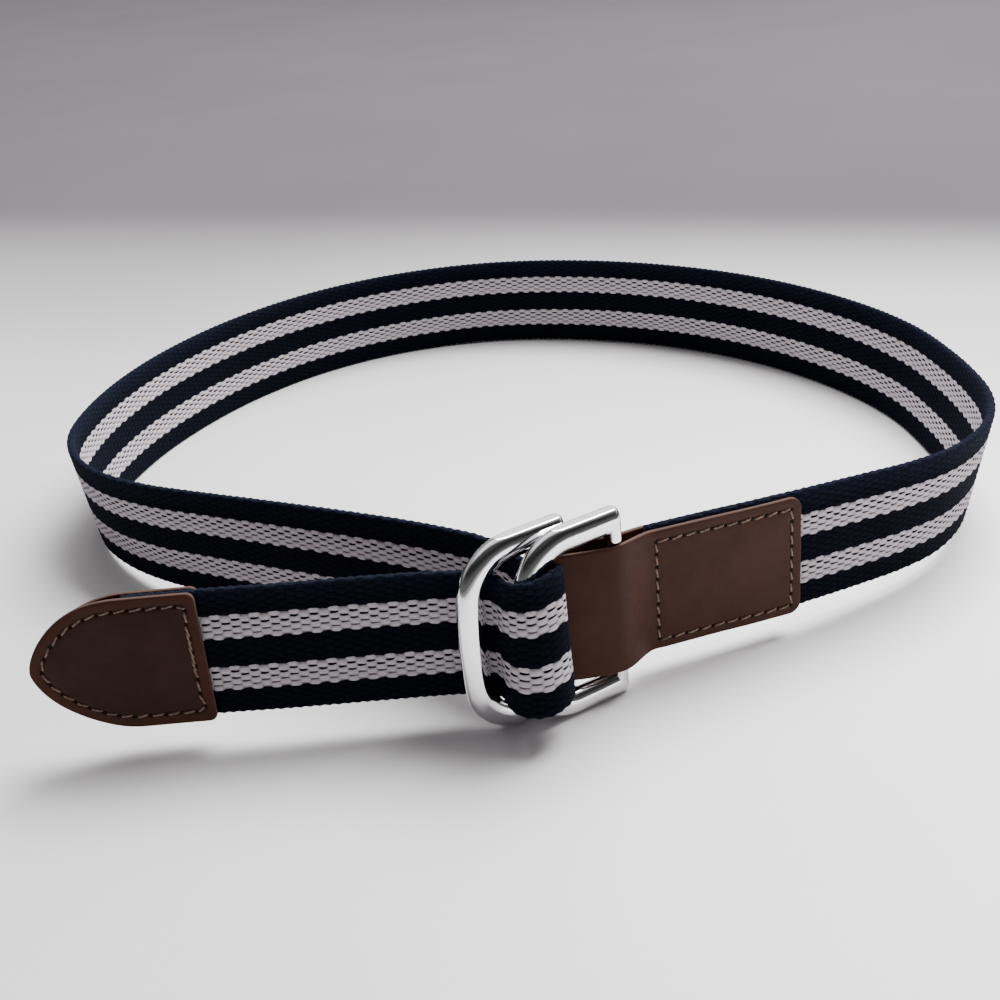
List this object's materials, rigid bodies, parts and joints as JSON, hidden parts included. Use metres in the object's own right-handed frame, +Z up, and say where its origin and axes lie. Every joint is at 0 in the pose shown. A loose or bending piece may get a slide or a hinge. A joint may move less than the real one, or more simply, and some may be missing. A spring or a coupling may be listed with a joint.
{
  "type": "canvas belt",
  "caption": "Striped canvas waist belt, closed with two metal D-rings held in a folded leather tab, with a pointed leather tip.",
  "frame": {"origin": "centre of the belt's box, on the surface that it stands on", "axes": "+Z up along the strap's width, -Y towards the buckle at the front, +X to the wearer's left as the picture shows it"},
  "size_m": [0.2903, 0.2886, 0.053],
  "materials": {
    "webbing": "woven cotton webbing, navy with two white stripes",
    "leather": "smooth dark brown leather with stitched edges",
    "ring_metal": "polished chrome plate"
  },
  "bodies": {
    "root": {"webbing": "webbing", "tab_leather": "leather", "ring_front": "ring_metal", "ring_back": "ring_metal", "tip_front": "leather", "tip_back": "leather"}
  },
  "joints": []
}
